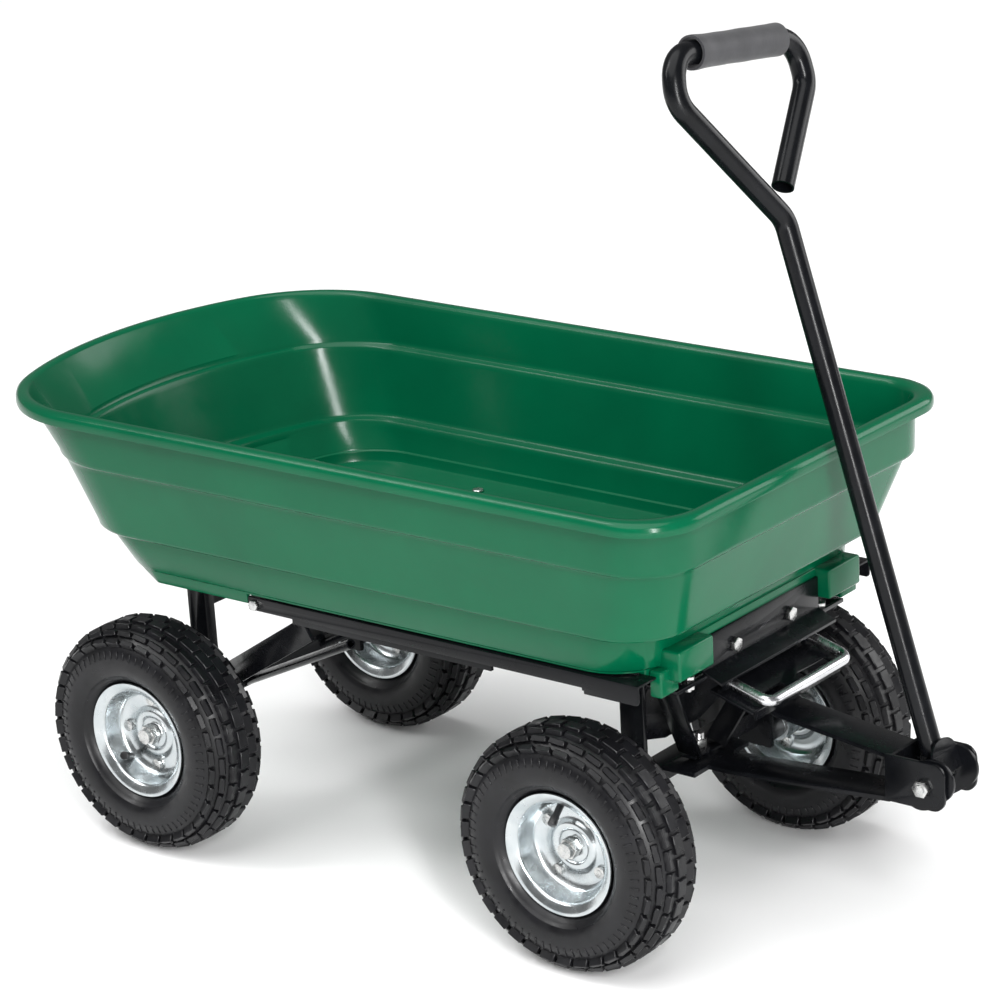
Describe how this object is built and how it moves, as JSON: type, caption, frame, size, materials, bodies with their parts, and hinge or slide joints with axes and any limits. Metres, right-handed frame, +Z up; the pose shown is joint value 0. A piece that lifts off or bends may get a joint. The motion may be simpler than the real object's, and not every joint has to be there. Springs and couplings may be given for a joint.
{
  "type": "garden cart",
  "caption": "Tipping garden cart: deep plastic tub on a steel frame with pneumatic wheels, a swivelling front axle, a tub latch and a looped pull handle.",
  "frame": {"origin": "on the ground, in the middle of the overall length and width", "axes": "+X forward to the pull handle, +Y to the cart's left, +Z up"},
  "size_m": [1.0866, 0.5228, 0.8982],
  "materials": {
    "tub_plastic": "gloss",
    "tyre_rubber": "matte",
    "grip_foam": "matte",
    "zinc_wheel": "zinc plated",
    "valve_rubber": "matte",
    "zinc_fastener": "zinc plated",
    "chromed_rod": "polished",
    "black_steel": "gloss"
  },
  "bodies": {
    "chassis": {"rear_axle_frame": "black_steel", "rail_left": "black_steel", "rail_right": "black_steel", "brace_left": "black_steel", "brace_right": "black_steel", "tie_tube_left": "black_steel", "tie_tube_right": "black_steel", "front_pedestal": "black_steel", "vee_strap_left": "black_steel", "vee_strap_right": "black_steel", "latch_keeper": "black_steel", "frame_bolts": "zinc_fastener", "kingpin_lower": "zinc_fastener", "kingpin_upper": "zinc_fastener", "axle_nuts_rear": "zinc_fastener", "pivot_pins": "zinc_fastener"},
    "tipping_tub": {"tub": "tub_plastic", "latch_bracket": "black_steel", "tub_bolts": "zinc_fastener", "pivot_brackets": "black_steel"},
    "latch": {"latch_handle": "chromed_rod"},
    "steering": {"steering_axle": "black_steel", "tongue": "black_steel", "clevis_bolt": "zinc_fastener", "axle_nuts_front": "zinc_fastener"},
    "pull_handle": {"handle_bracket": "black_steel", "pull_tube": "black_steel", "grip": "grip_foam"},
    "wheel_front_left": {"tyre_front_left": "tyre_rubber", "rim_outer_front_left": "zinc_wheel", "rim_inner_front_left": "zinc_wheel", "hub_front_left": "zinc_wheel", "rim_bolts_front_left": "zinc_fastener", "valve_front_left": "valve_rubber"},
    "wheel_front_right": {"tyre_front_right": "tyre_rubber", "rim_outer_front_right": "zinc_wheel", "rim_inner_front_right": "zinc_wheel", "hub_front_right": "zinc_wheel", "rim_bolts_front_right": "zinc_fastener", "valve_front_right": "valve_rubber"},
    "wheel_rear_left": {"tyre_rear_left": "tyre_rubber", "rim_outer_rear_left": "zinc_wheel", "rim_inner_rear_left": "zinc_wheel", "hub_rear_left": "zinc_wheel", "rim_bolts_rear_left": "zinc_fastener", "valve_rear_left": "valve_rubber"},
    "wheel_rear_right": {"tyre_rear_right": "tyre_rubber", "rim_outer_rear_right": "zinc_wheel", "rim_inner_rear_right": "zinc_wheel", "hub_rear_right": "zinc_wheel", "rim_bolts_rear_right": "zinc_fastener", "valve_rear_right": "valve_rubber"}
  },
  "joints": [
    {"name": "tub_tilt", "type": "hinge", "parent": "chassis", "child": "tipping_tub", "pos_m": [-0.3384, 0, 0.29], "axis": [0, -1, 0], "range_deg": [0, 50]},
    {"name": "latch_pull", "type": "slide", "parent": "tipping_tub", "child": "latch", "axis": [0.9613, 0, -0.2756], "range_m": [0, 0.018], "stiffness_N_per_m": 300, "springref_m": -0.01},
    {"name": "steer", "type": "hinge", "parent": "chassis", "child": "steering", "pos_m": [0.2316, 0, 0.2], "axis": [0, 0, 1], "range_deg": [-28, 28]},
    {"name": "handle_swing", "type": "hinge", "parent": "steering", "child": "pull_handle", "pos_m": [0.5136, 0, 0.19], "axis": [0, 1, 0], "range_deg": [0, 115]},
    {"name": "wheel_spin_front_left", "type": "hinge", "parent": "steering", "child": "wheel_front_left", "pos_m": [0.2216, 0.195, 0.127], "axis": [0, 1, 0], "continuous": true},
    {"name": "wheel_spin_front_right", "type": "hinge", "parent": "steering", "child": "wheel_front_right", "pos_m": [0.2216, -0.195, 0.127], "axis": [0, 1, 0], "continuous": true},
    {"name": "wheel_spin_rear_left", "type": "hinge", "parent": "chassis", "child": "wheel_rear_left", "pos_m": [-0.3384, 0.195, 0.127], "axis": [0, 1, 0], "continuous": true},
    {"name": "wheel_spin_rear_right", "type": "hinge", "parent": "chassis", "child": "wheel_rear_right", "pos_m": [-0.3384, -0.195, 0.127], "axis": [0, 1, 0], "continuous": true}
  ]
}
